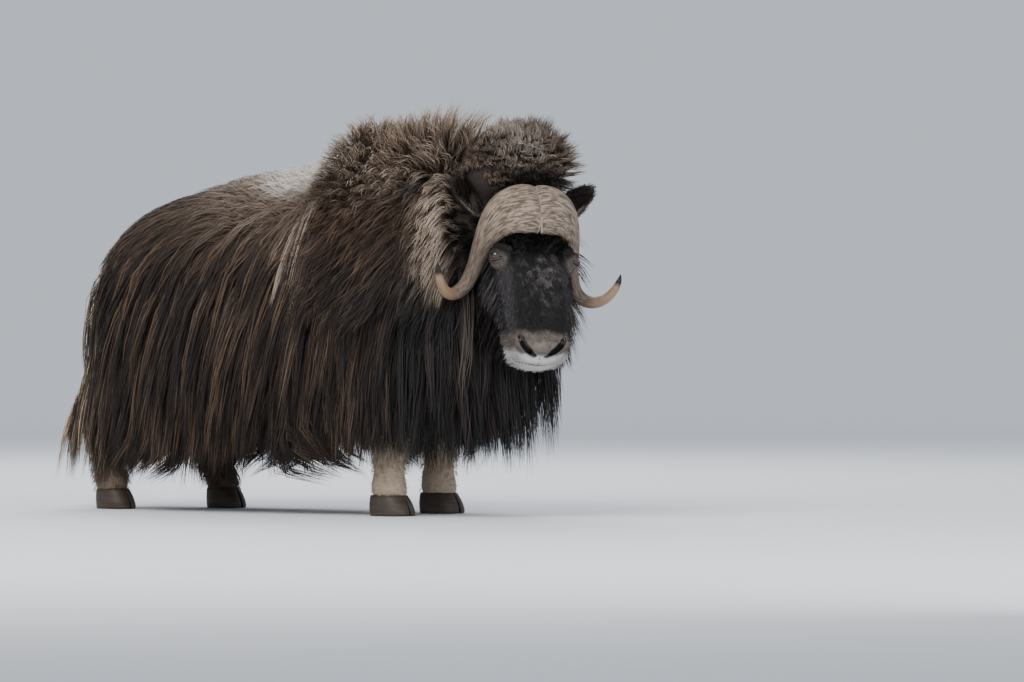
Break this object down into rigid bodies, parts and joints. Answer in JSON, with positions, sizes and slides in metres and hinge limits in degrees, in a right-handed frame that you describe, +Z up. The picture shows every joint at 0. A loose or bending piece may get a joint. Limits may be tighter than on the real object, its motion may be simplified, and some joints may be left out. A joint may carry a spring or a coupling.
{
  "type": "muskox",
  "caption": "Standing muskox bull with a shaggy coat out to the hocks, a shoulder hump, broad horn boss and down-curved horns, head turned to its right.",
  "frame": {"origin": "middle of the model's bounding box in X and Y, on the floor that the hooves stand on", "axes": "+X forward along the body, +Y to the animal's left, +Z up"},
  "size_m": [2.1408, 0.9514, 1.3918],
  "materials": {
    "face_hair": "short dense hair, matt",
    "mane_hair": "dense hair, matt",
    "guard_hair": "long coarse outer hair, satin",
    "horn": "rough fibrous horn, satin towards the tips",
    "eye": "wet and glossy",
    "leg_hair": "short dense hair, matt",
    "hoof": "worn horn"
  },
  "bodies": {
    "root": {"head": "face_hair", "neck": "mane_hair", "torso": "guard_hair", "tail": "guard_hair", "horn_left": "horn", "horn_right": "horn", "ear_left": "mane_hair", "ear_right": "mane_hair", "eye_left": "eye", "eye_right": "eye", "foreleg_left": "leg_hair", "foreleg_right": "leg_hair", "hindleg_left": "leg_hair", "hindleg_right": "leg_hair", "hoof_fore_left": "hoof", "hoof_fore_right": "hoof", "hoof_hind_left": "hoof", "hoof_hind_right": "hoof"}
  },
  "joints": []
}
